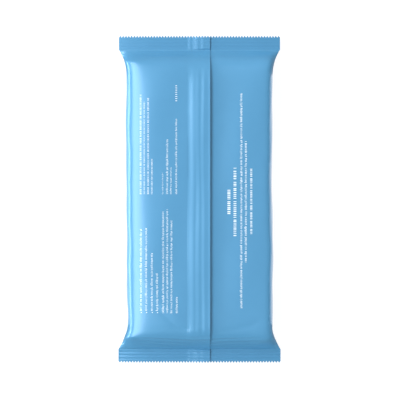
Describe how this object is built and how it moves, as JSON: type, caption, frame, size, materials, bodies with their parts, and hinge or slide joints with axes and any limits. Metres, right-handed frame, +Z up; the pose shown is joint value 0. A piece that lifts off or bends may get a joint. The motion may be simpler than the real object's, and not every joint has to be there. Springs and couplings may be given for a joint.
{
  "type": "wet wipes pack",
  "caption": "Sealed flow-wrapped soft pack of wet wipes, lying on its front face, with toothed end seals, a folded fin seal along the back and a glued reseal label underneath.",
  "frame": {"origin": "middle of the pack's footprint, on the surface that it lies on", "axes": "+Y along the pack, +X across it, +Z up through its thickness, out of the back face with the fin seal"},
  "size_m": [0.1086, 0.22, 0.0237],
  "materials": {
    "printed_film": "satin printed packaging film, light blue with fine white print",
    "label_film": "satin white adhesive label film"
  },
  "bodies": {
    "root": {"film_pouch": "printed_film", "reseal_label": "label_film"}
  },
  "joints": []
}
